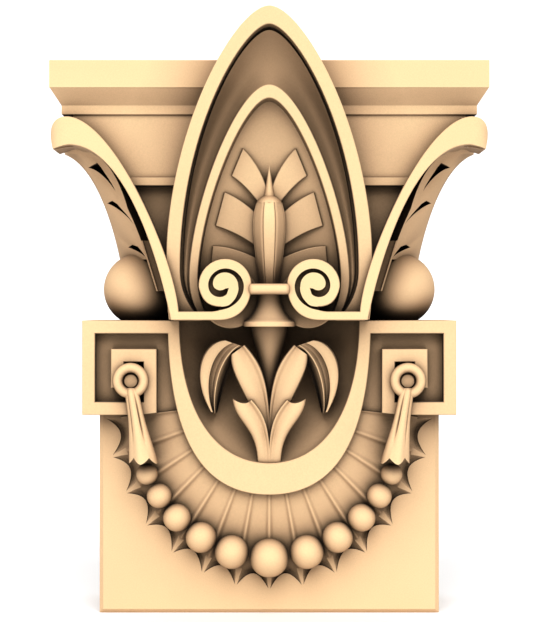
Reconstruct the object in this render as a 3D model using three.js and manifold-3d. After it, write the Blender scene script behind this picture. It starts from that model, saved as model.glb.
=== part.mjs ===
// A carved stone capital for a pilaster (a flat pier standing out of a wall).
// Millimetres, +Z up. The front faces -Y and the flat back lies against the wall.
// The origin is the middle of the underside of the shaft.
// Proud means in front of the shaft's face. A pair of shares places a point between
// two others, across first and then in height.
import * as THREE from 'three';
import { mergeVertices } from 'three/addons/utils/BufferGeometryUtils.js';
import Module from 'manifold-3d';

const wasm = await Module();
wasm.setup();

// Main sizes: across the abacus, up to the tip of the pointed leaf, and front to back of the shaft
const capitalWidth = 378;
const capitalHeight = 522.6;
const shaftDepth = 100;
const shaftChamfer = 3.5;

// Abacus, the slab at the top
const abacusOverhang = 39;
const abacusDrop = 40.6;
const abacusFaceHeight = 23.5;
const abacusBevelHeight = 14.5;
const abacusBevelInset = 9.5;
const abacusFilletHeight = 8;

// Bell under the abacus, and the neck behind everything
const bellHeight = 61.5;
const bellTopProud = 29;
const bellFootProud = 26;
const bellBandHeight = 8;
const bellBandProud = 29;
const bandStep = 0.3;
const neckProud = 15;
const ribbonCover = 1;

// Key blocks at the shaft's shoulders
const blockBase = 175.7;
const blockHeight = 82.5;
const blockOverhang = 13.4;
const keyProud = 16;
const keyFloorProud = 3;
const keyPocketProud = -14;
const keyBar = 11.3;
const keyHookInset = 25.3;
const keyTurnInset = 53.7;
const keyTopInset = 24.9;
const keyHookDrop = 34;

// Rings and bell-flower pendants that hang on the key blocks
const ringInset = 42.7;
const ringDrop = 52.4;
const ringRadius = 11.3;
const ringThickness = 4.4;
const ringProud = 3.5;
const pegRadius = 6;
const pegSink = 1;
const flowerDrop = 6.3;
const flowerLength = 64;
const flowerLean = 11.6;
const flowerRadii = [5.2, 6.4, 6.8, 9, 12.8];
const flowerLevels = [0, 0.14, 0.42, 0.7, 1];
const flowerLobe = 0.13;
const flowerTip = 2.4;

// Horseshoe collar round the niche
const collarTopHalf = 88.5;
const collarTopBand = 10;
const collarDrop = 69.7;
const collarFootBand = 27.5;
const collarOuterBends = [0.79, 0.54];
const collarInnerBends = [0.665, 0.575];
const nicheDepth = 38;
const nicheLevels = [[1, 0.2], [0.95, 0.46], [0.84, 0.7], [0.62, 0.9], [0.25, 1]];

// Fluted shell and its string of beads
const shellCentreRise = 13.3;
const shellSideInset = 4;
const shellFootHeight = 20;
const shellRibs = 7;
const shellFirstGap = 9.9;
const shellGapGrowth = 0.29;
const shellReaches = [0.4, 0.62, 0.82, 1];
const shellSideTrim = 0.4;
const shellGroundReach = [0.35, 0.9];
const scallopDepth = 13;
const shellRidgeProud = 12;
const shellTipProud = 0.6;
const fluteDepthInside = 1.6;
const fluteDepthRim = 5.6;
const beadSideInset = 24.5;
const beadFootInset = 30;
const beadRadii = [17.1, 14.9, 13.6, 12.3, 11, 9.6];
const beadGap = 1.2;
const beadProud = 9;

// Pointed leaf that stands in front of the bell and above the abacus
const archHalf = 89;
const archWideRise = 41.8;
const archShoulder = 28;
const archFlank = 0.54;
const archFootDrop = 190;
const archFaceProud = 26.5;
const archLean = 0.172;
const archBackSink = 5;
const archBackLean = 0.2;
const rimBand = 12;
const rimBandTop = 15;
const rimShoulder = 21;
const rimFootDrop = 64;
const rimWall = 3;
const coveEdgeDepth = 14;
const coveDepth = 24;
const innerHalf = 69.4;
const innerTopDrop = 64.1;
const innerWideRise = 35.2;
const innerShoulder = 28;
const innerFlank = 0.357;
const innerBand = 7.7;
const innerBandTop = 11.2;
const innerSink = 4;
const bowlWall = 1.5;
const bowlEdgeDepth = 17;
const bowlDepth = 25;

// Fan of flat petals in the pointed leaf, as shares of its inner rim: two tips, the bends
// of the upper edge, the bends of the lower edge, and two roots
const petalDepth = 17;
const petalShapes = [
  [
    [0.329, 0.74], [0.471, 0.624], [0.086, 0.633], [0.195, 0.695],
    [0.36, 0.601], [0.231, 0.558], [0.029, 0.568], [0.086, 0.488],
  ],
  [
    [0.559, 0.555], [0.673, 0.41], [0.288, 0.506], [0.418, 0.533],
    [0.504, 0.392], [0.346, 0.368], [0.115, 0.448], [0.13, 0.314],
  ],
  [
    [0.71, 0.324], [0.742, 0.209], [0.403, 0.311], [0.548, 0.322],
    [0.576, 0.209], [0.36, 0.209], [0.115, 0.264], [0.13, 0.209],
  ],
];

// Torch in the middle: the bud and its spike, the band, the flared foot and the drop
const budShoulder = 0.515;
const budTip = 0.656;
const budRadius = 15.5;
const budDepth = 1.25;
const budSides = 8;
const budShares = [
  [0.56, 0], [0.71, 0.26], [0.9, 0.5], [1, 0.72], [0.97, 0.85], [0.8, 1], [0.36, 1.03], [0.19, 1.15],
];
const torchSink = 17.6;
const bandSink = 3.2;
const bandHeight = 9.4;
const bandHalf = 17.9;
const bandProud = 45.2;
const bandRound = 1.6;
const torchFootRadius = 22.4;
const torchFootDrop = 5.2;
const torchFootProud = 21;
const torchFootDepth = 0.8;
const torchFootShares = [[1, 0], [1, 0.17], [0.72, 0.34], [0.5, 0.64], [0.43, 1]];
const dropLength = 63;
const dropProud = 0;
const dropShares = [[0.7, 0], [0.68, 0.1], [0.52, 0.38], [0.32, 0.62], [0.1, 0.88]];

// Ribbon that rises from the volute to the horn under the abacus
const ribbonProud = 40;
const ribbonBack = -12;
const ribbonBar = 7.2;
const ribbonFootWidth = 6.5;
const ribbonFootCover = 4.2;
const ribbonRise = 0.5;
const hornRootInset = 18;
const hornUnderDrop = 26.9;
const hornOverInset = 17.3;
const hornOverDrop = 2.7;
const hornClearance = 0.5;
const hornTipInset = 2.7;
const hornTipDrop = 30.2;
const hornSwell = 6;
const hornCrownInset = 15;
const hornRoundWidth = 17;
const hornRoundDepth = 10;
const ribbonOuterBends = [[0.156, 0.437], [0.5, 0.994]];
const ribbonInnerBends = [[0.033, 0.265], [0.567, 0.969]];

// Volute at the foot of the ribbon, given by bearings in degrees and distances from its middle
const voluteRadius = 22.6;
const voluteAcross = 37.9;
const voluteRise = 30.3;
const voluteTurnIn = [[-0.95, 0.57], [-0.58, 1], [0.27, 1]];
const coilFootShare = 0.25;
const coilTurns = [
  [-77, 18.8], [-47, 21.3], [-21, 22], [4, 22.6], [22, 22.6], [40, 22.6], [58, 22.6],
  [76, 22.6], [94, 22.6], [112, 22.6], [130, 22.6], [148, 22.6], [166, 22.6], [184, 22.6],
];
const grooveOuter = [
  [296, 26.5], [275, 20.9], [248, 18.5], [221, 17.1], [195, 16.4], [165, 15.7], [135, 15], [105, 14.6],
  [75, 14.4], [45, 14.4], [15, 14.5], [-15, 14.2], [-45, 12.8], [-75, 10.2], [-102, 7.6],
];
const grooveInner = [
  [-148, 3.9], [-90, 2.9], [-45, 6.1], [-10, 9.6], [25, 10.9], [60, 11.1], [95, 11],
  [130, 11], [165, 11.1], [195, 11.9], [225, 13.8], [255, 16.6], [297, 21.4],
];
const grooveDepth = 11;
const lobeRadius = 25.8;
const lobeInset = 4;
const lobeSink = 11.2;
const lobeProud = 18;

// Flank, the long leaf on it, the short strip and the ball below
const flankFootInset = 32.8;
const flankTipInset = 0.6;
const flankTipDrop = 28.3;
const flankBends = [[0.007, 0.347], [0.336, 0.967]];
const flankWallInset = 18;
const flankCore = 60;
const leafFootRise = 53.8;
const leafFootStep = 0.5;
const leafEdgeTopProud = -22;
const leafEdgeFootProud = -48;
const leafInnerProud = 4;
const leafTipCut = 1.3;
const leafTipCover = 4.6;
const leafTipInset = 5;
const leafGap = 9;
const leafGapTopDrop = 10;
const leafGapRun = 56;
const leafGapFloor = -8;
const leafGapCover = 3;
const stripDrop = 28;
const stripLength = 44;
const stripWidth = 6.5;
const stripRoot = 4;
const stripProud = 13;
const rollCover = 6;
const rollShares = [[0, 0.76], [0.45, 0.83], [0.8, 0.94], [1, 1]];
const ballRadius = 32.3;
const ballProud = -22;
const ballInset = 47.6;
const ballSeat = 4.8;

// Eyes between the lobes of the long leaf, as shares of its width and height: outer corner,
// top, inner side and foot
const eyeFloorProud = -24;
const leafEyes = [
  [[0.796, 0.871], [0.307, 0.905], [0.332, 0.858], [0.4, 0.641]],
  [[0.862, 0.54], [0.657, 0.557], [0.541, 0.523], [0.302, 0.328]],
  [[0.67, 0.121], [0.527, 0.142], [0.393, 0.121], [0.278, 0.021]],
];

// Plant in the niche, as shares of the niche: the outer edge and then the inner edge of each leaf,
// with how far its base and crown stand proud
const lowerLeaf = [
  [[0.124, -0.036], [0.124, 0.261], [0.382, 0.277], [0.408, 0.453]],
  [[-0.01, -0.036], [-0.01, 0.261], [0.038, 0.341], [0.195, 0.448]],
];
const lowerLeafProud = [12, 20];
const upperLeaf = [
  [[0.102, 0.052], [0.153, 0.453], [0.433, 0.581], [0.425, 0.758]],
  [[-0.01, 0.132], [-0.01, 0.581], [0.076, 0.694], [0.271, 0.83]],
];
const upperLeafProud = [9, 21];
const droopLeaf = [
  [[0.501, 0.864], [0.739, 0.862], [0.917, 0.63], [0.656, 0.361]],
  [[0.262, 0.812], [0.433, 0.726], [0.522, 0.533], [0.583, 0.349]],
];
const droopLeafProud = [22, 13];
const broadSection = [[0, -3], [0.2, 0.3], [0.56, -0.3], [0.76, -1.3], [0.92, 1], [1, -2.5]];
const droopSection = [[0, -9], [0.14, 0.2], [0.4, 0], [0.5, -4.4], [0.7, 2.8], [1, -15]];
const leafThickness = 13;
const droopThickness = 18;
const stemShares = [[0.124, -0.044], [0.124, 0.1], [0.107, 0.148], [0.051, 0.188], [0, 0.212]];
const stemProud = 12.4;
const stemBack = -4;

// Forms that join reach this far into each other
const lap = 1;

// Faces thinner than these are cleaned away after the forms are joined
const shortestEdge = 0.05;
const thinnestFace = 0.02;
const cleaningPasses = 12;

// Sizes worked out from those above
const abacusTop = capitalHeight - abacusDrop;
const abacusHalf = capitalWidth / 2;
const abacusFilletHalf = abacusHalf - abacusBevelInset;
const abacusFilletProud = abacusOverhang - abacusBevelInset;
const abacusBase = abacusTop - abacusFaceHeight - abacusBevelHeight - abacusFilletHeight;
const shaftHalf = abacusHalf - abacusOverhang;
const faceY = -shaftDepth / 2;
const wallProud = -shaftDepth;
const blockTop = blockBase + blockHeight;
const blockHalf = shaftHalf + blockOverhang;
const archFoot = blockTop + lap;

// Each carved form is kept here, then all are joined into the one block.
const forms = [];
const cuts = [];

function signedVolume(position, index) {
  let volume = 0;
  const a = new THREE.Vector3();
  const b = new THREE.Vector3();
  const c = new THREE.Vector3();
  for (let i = 0; i < index.length; i += 3) {
    a.fromBufferAttribute(position, index[i]);
    b.fromBufferAttribute(position, index[i + 1]);
    c.fromBufferAttribute(position, index[i + 2]);
    volume += a.dot(b.cross(c)) / 6;
  }
  return volume;
}

// A closed surface becomes a solid, with its faces turned outwards.
function solidOf(geometry) {
  const bare = geometry.clone();
  bare.deleteAttribute('normal');
  bare.deleteAttribute('uv');
  const merged = mergeVertices(bare);
  const index = Uint32Array.from(merged.index.array);
  if (signedVolume(merged.attributes.position, index) < 0) index.reverse();
  const vertProperties = Float32Array.from(merged.attributes.position.array);
  return new wasm.Manifold(new wasm.Mesh({ numProp: 3, vertProperties, triVerts: index }));
}

function mirrored(geometry) {
  return geometry.clone().scale(-1, 1, 1);
}

function add(geometry) {
  forms.push(solidOf(geometry));
}

function addPair(geometry) {
  add(geometry);
  add(mirrored(geometry));
}

function cutPair(geometry) {
  cuts.push(solidOf(geometry));
  cuts.push(solidOf(mirrored(geometry)));
}

// Joining leaves a few faces as thin as needles. A very short edge is closed up,
// and a needle with no short edge is turned across its neighbour.
function cleaned(mesh) {
  const points = [];
  for (let i = 0; i < mesh.vertProperties.length; i += 3) {
    points.push(new THREE.Vector3().fromArray(mesh.vertProperties, i));
  }
  let faces = [];
  for (let i = 0; i < mesh.triVerts.length; i += 3) faces.push([...mesh.triVerts.slice(i, i + 3)]);

  const needle = (face) => {
    const lengths = face.map((v, k) => points[v].distanceTo(points[face[(k + 1) % 3]]));
    const [a, b, c] = face.map((v) => points[v]);
    const doubleArea = b.clone().sub(a).cross(c.clone().sub(a)).length();
    const longest = lengths.indexOf(Math.max(...lengths));
    const shortest = lengths.indexOf(Math.min(...lengths));
    if (lengths[shortest] < shortestEdge) return { close: true, edge: shortest };
    if (doubleArea < thinnestFace * lengths[longest]) return { close: false, edge: longest };
    return null;
  };

  for (let pass = 0; pass < cleaningPasses; pass += 1) {
    const owner = new Map();
    faces.forEach((face, f) => face.forEach((v, k) => owner.set(`${v},${face[(k + 1) % 3]}`, f)));
    const around = (v) => new Set(faces.filter((face) => face.includes(v)).flat());
    let changed = false;
    const touched = new Set();
    for (let f = 0; f < faces.length; f += 1) {
      const fault = needle(faces[f]);
      if (!fault || faces[f].some((v) => touched.has(v))) continue;
      const a = faces[f][fault.edge];
      const b = faces[f][(fault.edge + 1) % 3];
      const c = faces[f][(fault.edge + 2) % 3];
      const other = owner.get(`${b},${a}`);
      const d = faces[other].find((v) => v !== a && v !== b);
      if (touched.has(d)) continue;
      if (fault.close) {
        const nearA = around(a);
        const shared = [...around(b)].filter((v) => nearA.has(v) && v !== a && v !== b);
        if (shared.length !== 2) continue;
        nearA.forEach((v) => touched.add(v));
        around(b).forEach((v) => touched.add(v));
        faces = faces.map((face) => face.map((v) => (v === b ? a : v)));
      } else {
        if (owner.has(`${c},${d}`) || owner.has(`${d},${c}`)) continue;
        faces[f] = [a, d, c];
        faces[other] = [d, b, c];
        [a, b, c, d].forEach((v) => touched.add(v));
      }
      changed = true;
    }
    faces = faces.filter(([a, b, c]) => a !== b && b !== c && c !== a);
    if (!changed) break;
  }
  const geometry = new THREE.BufferGeometry().setFromPoints(points);
  geometry.setIndex(faces.flat());
  return mergeVertices(geometry);
}

// An outline drawn on the front, from one distance in front of the shaft's face to another.
function slab(shape, from, to, curveSegments = 8) {
  const settings = { depth: to - from, bevelEnabled: false, curveSegments };
  return new THREE.ExtrudeGeometry(shape, settings).rotateX(Math.PI / 2).translate(0, faceY - from, 0);
}

function rectangle(left, right, low, high) {
  return outlined([[left, low], [right, low], [right, high], [left, high]]);
}

function bezier(a, b, c, d, steps) {
  const corners = [a, b, c, d].map(([x, z]) => new THREE.Vector2(x, z));
  return new THREE.CubicBezierCurve(...corners).getPoints(steps).map((p) => [p.x, p.y]);
}

// A closed outline through the given points.
function outlined(points) {
  return new THREE.Shape(points.map(([x, z]) => new THREE.Vector2(x, z)));
}

// A curve from a foot to an end, with its two bends placed by shares between them.
function swept(foot, end, bends, steps) {
  const [low, high] = bends.map(([across, rise]) => [
    mix(foot[0], end[0], across),
    mix(foot[1], end[1], rise),
  ]);
  return bezier(foot, low, high, end, steps);
}

function mix(a, b, share) {
  return a + (b - a) * share;
}

// The sideways place of a curve where it passes a given height.
function acrossAt(points, height) {
  const rising = points[0][1] < points[points.length - 1][1] ? points : [...points].reverse();
  for (let i = 1; i < rising.length; i += 1) {
    if (rising[i][1] >= height) {
      const span = rising[i][1] - rising[i - 1][1];
      return mix(rising[i - 1][0], rising[i][0], span > 0 ? (height - rising[i - 1][1]) / span : 1);
    }
  }
  return rising[rising.length - 1][0];
}

// Skins a row of closed rings of equal count. Each end is closed by strips across the ring.
function skinned(rings) {
  const count = rings[0].length;
  const positions = rings.flat(2);
  const index = [];
  for (let r = 0; r < rings.length - 1; r += 1) {
    for (let i = 0; i < count; i += 1) {
      const a = r * count + i;
      const b = r * count + ((i + 1) % count);
      index.push(a, b, b + count, a, b + count, a + count);
    }
  }
  const close = (start, flip) => {
    for (let i = 0; i < Math.floor(count / 2); i += 1) {
      const a = start + i;
      const b = start + i + 1;
      const c = start + ((count - i - 1) % count);
      const d = start + ((count - i) % count);
      const faces = [];
      if (b !== c) faces.push([a, c, b]);
      if (d !== a && d !== c) faces.push([a, d, c]);
      for (const face of faces) index.push(...(flip ? face.reverse() : face));
    }
  };
  close(0, false);
  close((rings.length - 1) * count, true);
  const geometry = new THREE.BufferGeometry();
  geometry.setAttribute('position', new THREE.Float32BufferAttribute(positions, 3));
  geometry.setIndex(index);
  return geometry;
}

// A turned form on a vertical axis, made deeper or flatter from front to back by a share.
function turned(profile, segments, across, proud, depth) {
  const outline = profile.map(([radius, height]) => new THREE.Vector2(radius, height));
  const geometry = new THREE.LatheGeometry(outline, segments);
  geometry.rotateX(Math.PI / 2).rotateZ(Math.PI / segments).scale(1, depth, 1);
  return geometry.translate(across, faceY - proud, 0);
}

function ball(radius, across, height, proud, segments = 10) {
  const geometry = new THREE.SphereGeometry(radius, segments, Math.round(segments * 0.7));
  return geometry.rotateX(Math.PI / 2).translate(across, faceY - proud, height);
}

// Leans a form forward from a given height upwards.
function leaned(geometry, slope, fromHeight) {
  const position = geometry.attributes.position;
  for (let i = 0; i < position.count; i += 1) {
    position.setY(i, position.getY(i) - slope * (position.getZ(i) - fromHeight));
  }
  return geometry;
}
// Shaft
function shaft() {
  const ring = (sunk, height) => {
    const flat = shaftHalf - shaftChamfer + sunk;
    return [
      [-shaftHalf, faceY + shaftDepth, height],
      [shaftHalf, faceY + shaftDepth, height],
      [shaftHalf, faceY + shaftChamfer, height],
      [flat, faceY + sunk, height],
      [-flat, faceY + sunk, height],
      [-shaftHalf, faceY + shaftChamfer, height],
    ];
  };
  return skinned([ring(shaftChamfer, 0), ring(0, shaftChamfer), ring(0, blockTop)]);
}

// A plain ring across the capital, from the wall to its front
function wallRing(half, proud, height) {
  return [
    [half, faceY + shaftDepth, height],
    [half, faceY - proud, height],
    [-half, faceY - proud, height],
    [-half, faceY + shaftDepth, height],
  ];
}

// Abacus, with the bevel and fillet below its face on the front and both ends
function abacus() {
  const bevelBase = abacusBase + abacusFilletHeight;
  return skinned([
    wallRing(abacusFilletHalf, abacusFilletProud, abacusBase),
    wallRing(abacusFilletHalf, abacusFilletProud, bevelBase),
    wallRing(abacusHalf, abacusOverhang, bevelBase + abacusBevelHeight),
    wallRing(abacusHalf, abacusOverhang, abacusTop),
  ]);
}

// Lines of the ribbon: its outer and inner edges, from the corner by the collar to the horn
const ribbonFoot = [collarTopHalf - ribbonFootCover, blockTop + ribbonRise];
const hornRoot = [abacusHalf - hornRootInset, abacusBase - hornUnderDrop];
const ribbonFootInner = [ribbonFoot[0] - ribbonFootWidth, ribbonFoot[1] + ribbonBar];
const hornRootInner = [abacusHalf - hornOverInset, abacusBase - hornOverDrop];
const hornTip = [abacusHalf - hornTipInset, abacusBase - hornTipDrop];
const ribbonEdge = swept(ribbonFoot, hornRoot, ribbonOuterBends, 12);
const ribbonInnerEdge = swept(ribbonFootInner, hornRootInner, ribbonInnerBends, 12);

// Line of the flank, from the key block to the horn
const flankEdge = swept(
  [blockHalf - flankFootInset, blockTop],
  [abacusHalf - flankTipInset, abacusBase - flankTipDrop],
  flankBends,
  24,
);

// Bell, a plain cove that ends in a flat band, and the neck under it. Both stop behind the ribbon.
function bellAndNeck() {
  const ring = (proud, height) => wallRing(acrossAt(ribbonEdge, height) - ribbonCover, proud, height);
  const foot = abacusBase - bellHeight;
  const bandTop = foot + bellBandHeight;
  const rings = [];
  const steps = 4;
  for (let i = 0; i <= steps; i += 1) rings.push(ring(neckProud, mix(blockTop - lap, foot, i / steps)));
  rings.push(ring(bellBandProud, foot + bandStep));
  rings.push(ring(bellBandProud, bandTop));
  for (let i = 0; i <= steps; i += 1) {
    const share = i / steps;
    const proud = mix(bellFootProud, bellTopProud, share * share);
    rings.push(ring(proud, mix(bandTop + bandStep, abacusBase + lap, share)));
  }
  return skinned(rings);
}

// Key blocks: one plain body, with raised bars that hook round like a Greek key
const keyTop = blockTop - keyTopInset;
const hookLeft = keyHookInset - blockHalf;
const hookRight = keyTurnInset - blockHalf;

function blocks() {
  return slab(rectangle(-blockHalf, blockHalf, blockBase, blockTop), wallProud, keyFloorProud);
}

function keyHook() {
  const side = -blockHalf;
  const collarSide = lap - collarTopHalf;
  const outline = [
    [side, blockBase],
    [hookRight + keyBar, blockBase],
    [hookRight + keyBar, keyTop],
    [hookLeft, keyTop],
    [hookLeft, keyTop - keyHookDrop],
    [hookLeft + keyBar, keyTop - keyHookDrop],
    [hookLeft + keyBar, keyTop - keyBar],
    [hookRight, keyTop - keyBar],
    [hookRight, blockBase + keyBar],
    [side + keyBar, blockBase + keyBar],
    [side + keyBar, blockTop - keyBar],
    [collarSide, blockTop - keyBar],
    [collarSide, blockTop],
    [side, blockTop],
  ];
  return slab(outlined(outline), keyFloorProud - lap, keyProud);
}

// The ground inside the hook is sunk deeper, so that the ring hangs free of it
function keyPocket() {
  const shape = rectangle(hookLeft + keyBar, hookRight, blockBase + keyBar, keyTop - keyBar);
  return slab(shape, keyPocketProud, keyFloorProud + lap);
}

// Collar outlines run from the block's top, round the foot of the horseshoe
const collarFoot = blockBase - collarDrop;
const nicheHalf = collarTopHalf - collarTopBand;
const nicheFoot = collarFoot + collarFootBand;

function horseshoe(half, foot, [straight, belly], steps) {
  const corners = [[half, blockTop], [half, mix(blockTop, foot, straight)], [half * belly, foot], [0, foot]];
  const right = bezier(...corners, steps);
  const left = right.slice(0, -1).reverse().map(([x, z]) => [-x, z]);
  return [...right, ...left];
}

function collar() {
  const outline = horseshoe(collarTopHalf, collarFoot, collarOuterBends, 14);
  return slab(outlined(outline), keyPocketProud, keyProud);
}

// The niche is scooped out in nested horseshoes that get smaller as they go deeper
function niche() {
  const outline = horseshoe(nicheHalf, nicheFoot, collarInnerBends, 12);
  const levels = [[1, -0.03], ...nicheLevels];
  return skinned(
    levels.map(([scale, share]) =>
      outline.map(([x, z]) => [x * scale, faceY - keyProud + nicheDepth * share, mix(blockTop, z, scale)]),
    ),
  );
}

// Shell: ribs fan out from under the collar, with hollow flutes and a scalloped rim between
const shellCentre = blockBase + shellCentreRise;
const shellHalf = shaftHalf - shellSideInset;
const shellDrop = shellCentre - shellFootHeight;

function ribAngle(n) {
  return Math.sign(n) * (shellFirstGap * Math.abs(n) + shellGapGrowth * n * n);
}

function shellPoint(degrees, reach, proud) {
  const angle = THREE.MathUtils.degToRad(degrees);
  const radius = reach / Math.hypot(Math.sin(angle) / shellHalf, Math.cos(angle) / shellDrop);
  return [radius * Math.sin(angle), faceY - proud, shellCentre - radius * Math.cos(angle)];
}

// The fan is first left standing as a plain slab
function shellGround() {
  const last = ribAngle(shellRibs) - shellSideTrim;
  const [inside, outside] = shellGroundReach;
  const steps = 16;
  const edge = [];
  for (let i = 0; i <= steps; i += 1) edge.push(shellPoint(mix(-last, last, i / steps), outside, 0));
  for (let i = 0; i <= steps; i += 1) edge.push(shellPoint(mix(last, -last, i / steps), inside, 0));
  return slab(outlined(edge.map(([x, , z]) => [x, z])), -lap, shellRidgeProud + lap);
}

// Then the waste over the flutes is cut away
function shellWaste() {
  const steps = 4;
  const lines = [];
  for (let rib = -shellRibs; rib < shellRibs; rib += 1) {
    for (let k = 0; k < steps; k += 1) {
      const share = k / steps;
      lines.push([mix(ribAngle(rib), ribAngle(rib + 1), share), share]);
    }
  }
  lines.push([ribAngle(shellRibs), 0]);
  const column = ([degrees, share]) => {
    const hollow = 1 - Math.abs(2 * share - 1) ** 2;
    const line = shellReaches.map((reach) => {
      const ridge = mix(shellRidgeProud, shellTipProud, reach ** 2.5);
      const depth = mix(fluteDepthInside, fluteDepthRim, reach ** 2.5);
      const scalloped = reach * (1 - (scallopDepth / shellDrop) * hollow * reach ** 6);
      return shellPoint(degrees, scalloped, ridge - depth * hollow);
    });
    const clear = ([x, , z]) => [x, faceY - 2 * shellRidgeProud, z];
    return [...line, clear(line[line.length - 1]), clear(line[0])];
  };
  return skinned(lines.map(column));
}

// Beads hang along a curve of their own, each just clear of the next
function beads() {
  const place = (angle) => {
    const across = Math.sin(angle) / (shellHalf - beadSideInset);
    const reach = 1 / Math.hypot(across, Math.cos(angle) / (shellDrop - beadFootInset));
    return [-reach * Math.sin(angle), shellCentre - reach * Math.cos(angle)];
  };
  let angle = 0;
  let last = place(0);
  beadRadii.forEach((radius, i) => {
    const apart = i > 0 ? beadRadii[i - 1] + radius + beadGap : 0;
    while (Math.hypot(place(angle)[0] - last[0], place(angle)[1] - last[1]) < apart) angle += 0.001;
    last = place(angle);
    const bead = ball(radius, last[0], last[1], beadProud);
    add(bead);
    if (i > 0) add(mirrored(bead));
  });
}

// Ring, peg and pendant of one key block
const ringAcross = ringInset - blockHalf;
const ringHeight = blockTop - ringDrop;

function ring() {
  const geometry = new THREE.TorusGeometry(ringRadius, ringThickness, 6, 18);
  return geometry.rotateX(Math.PI / 2).translate(ringAcross, faceY - keyProud - ringProud, ringHeight);
}

function peg() {
  const shape = new THREE.Shape();
  shape.absarc(ringAcross, ringHeight, pegRadius, 0, 2 * Math.PI, false);
  return slab(shape, keyPocketProud - lap, keyProud - pegSink, 6);
}

function pendant() {
  const petals = 5;
  const sides = 2 * petals;
  const rings = flowerLevels.map((share, level) => {
    const axis = ringAcross + flowerLean * share;
    const height = ringHeight - flowerDrop - flowerLength * share;
    const ringPoints = [];
    for (let i = 0; i < sides; i += 1) {
      const angle = (2 * Math.PI * (i + 0.5)) / sides;
      const lobe = Math.cos(angle * petals) * share;
      const radius = flowerRadii[level] * (1 + flowerLobe * lobe);
      ringPoints.push([
        axis + radius * Math.sin(angle),
        faceY - keyProud - ringProud - radius * Math.cos(angle),
        height - flowerTip * lobe,
      ]);
    }
    return ringPoints;
  });
  return skinned(rings);
}

// Pointed leaf: nested pointed outlines, each at its own depth
const archWide = blockTop + archWideRise;
const innerTop = capitalHeight - innerTopDrop;
const innerWide = blockTop + innerWideRise;

function pointed(top, wide, half, shoulder, flankShare, footDrop) {
  const upper = bezier([0, top], [shoulder, top], [half, mix(wide, top, flankShare)], [half, wide], 12);
  const lower = [];
  const steps = 5;
  for (let i = 1; i <= steps; i += 1) {
    const angle = (i / steps) * (Math.PI / 2);
    lower.push([half * Math.cos(angle), wide - footDrop * Math.sin(angle)]);
  }
  lower[steps - 1][0] = 0;
  const right = [...upper, ...lower];
  const left = right.slice(1, -1).reverse().map(([x, z]) => [-x, z]);
  return [...right, ...left];
}

function archProud(height) {
  return archFaceProud + archLean * (height - archFoot);
}

function archBack(height) {
  return abacusOverhang - archBackSink + archBackLean * (height - abacusTop);
}

function pointedLeaf() {
  const outer = pointed(capitalHeight, archWide, archHalf, archShoulder, archFlank, archFootDrop);
  const rim = (band, bandTop) =>
    pointed(capitalHeight - bandTop, archWide, archHalf - band, rimShoulder, archFlank, rimFootDrop);
  const inner = (band, bandTop) => {
    const shoulder = innerShoulder * (1 - band / (innerHalf / 2));
    return pointed(innerTop - bandTop, innerWide, innerHalf - band, shoulder, innerFlank, rimFootDrop);
  };
  const rimEdge = rim(rimBand, rimBandTop);
  const coveEdge = rim(rimBand + rimWall, rimBandTop + rimWall);
  const innerEdge = inner(0, 0);
  const bowlEdge = inner(innerBand, innerBandTop);
  const bowlFoot = inner(innerBand + bowlWall, innerBandTop + bowlWall);
  const at = (outline, depth) => outline.map(([x, z]) => [x, faceY - archProud(z) + depth, z]);
  const between = (share) =>
    coveEdge.map(([x, z], i) => [mix(x, innerEdge[i][0], share), mix(z, innerEdge[i][1], share)]);
  const middle = mix(innerWide, innerTop, 0.25);
  const shrunk = (share) => bowlFoot.map(([x, z]) => [x * share, mix(middle, z, share)]);
  return skinned([
    outer.map(([x, z]) => [x, faceY - archBack(z), z]),
    at(outer, 0),
    at(rimEdge, 0),
    at(coveEdge, coveEdgeDepth),
    at(between(0.4), coveDepth),
    at(between(0.97), bowlEdgeDepth),
    at(innerEdge, innerSink),
    at(bowlEdge, innerSink),
    at(bowlFoot, bowlEdgeDepth),
    at(shrunk(0.7), mix(bowlEdgeDepth, bowlDepth, 0.6)),
    at(shrunk(0.35), bowlDepth),
  ]);
}

// The bell and abacus are cut back first, so that they don't fill the hollows of the leaf
function leafRoom() {
  const half = archHalf - rimBand;
  const top = capitalHeight - rimBandTop;
  const outline = pointed(top, archWide, half, rimShoulder, archFlank, rimFootDrop);
  const level = (depth) => outline.map(([x, z]) => [x, faceY - archProud(z) + depth, z]);
  return skinned([level(bowlDepth + lap), level(-bowlDepth)]);
}

// A place in the pointed leaf, by shares of its inner rim
function inLeaf([across, rise]) {
  return [innerHalf * across, mix(blockTop, innerTop, rise)];
}

// Flat petals of the fan: each widens away from the torch, between two curved edges
function petals() {
  for (const points of petalShapes) {
    const [tipHigh, tipLow, highA, highB, lowA, lowB, rootHigh, rootLow] = points.map(inLeaf);
    const upper = bezier(rootHigh, highA, highB, tipHigh, 3);
    const lower = bezier(tipLow, lowA, lowB, rootLow, 3);
    const back = archFaceProud - bowlDepth - lap;
    const form = slab(outlined([...upper, ...lower]), back, archFaceProud - petalDepth);
    addPair(leaned(form, archLean, archFoot));
  }
}

// Torch: a faceted bud with a spike, a band, a flared foot and a drop below
const voluteHeight = blockTop + voluteRise;

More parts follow.
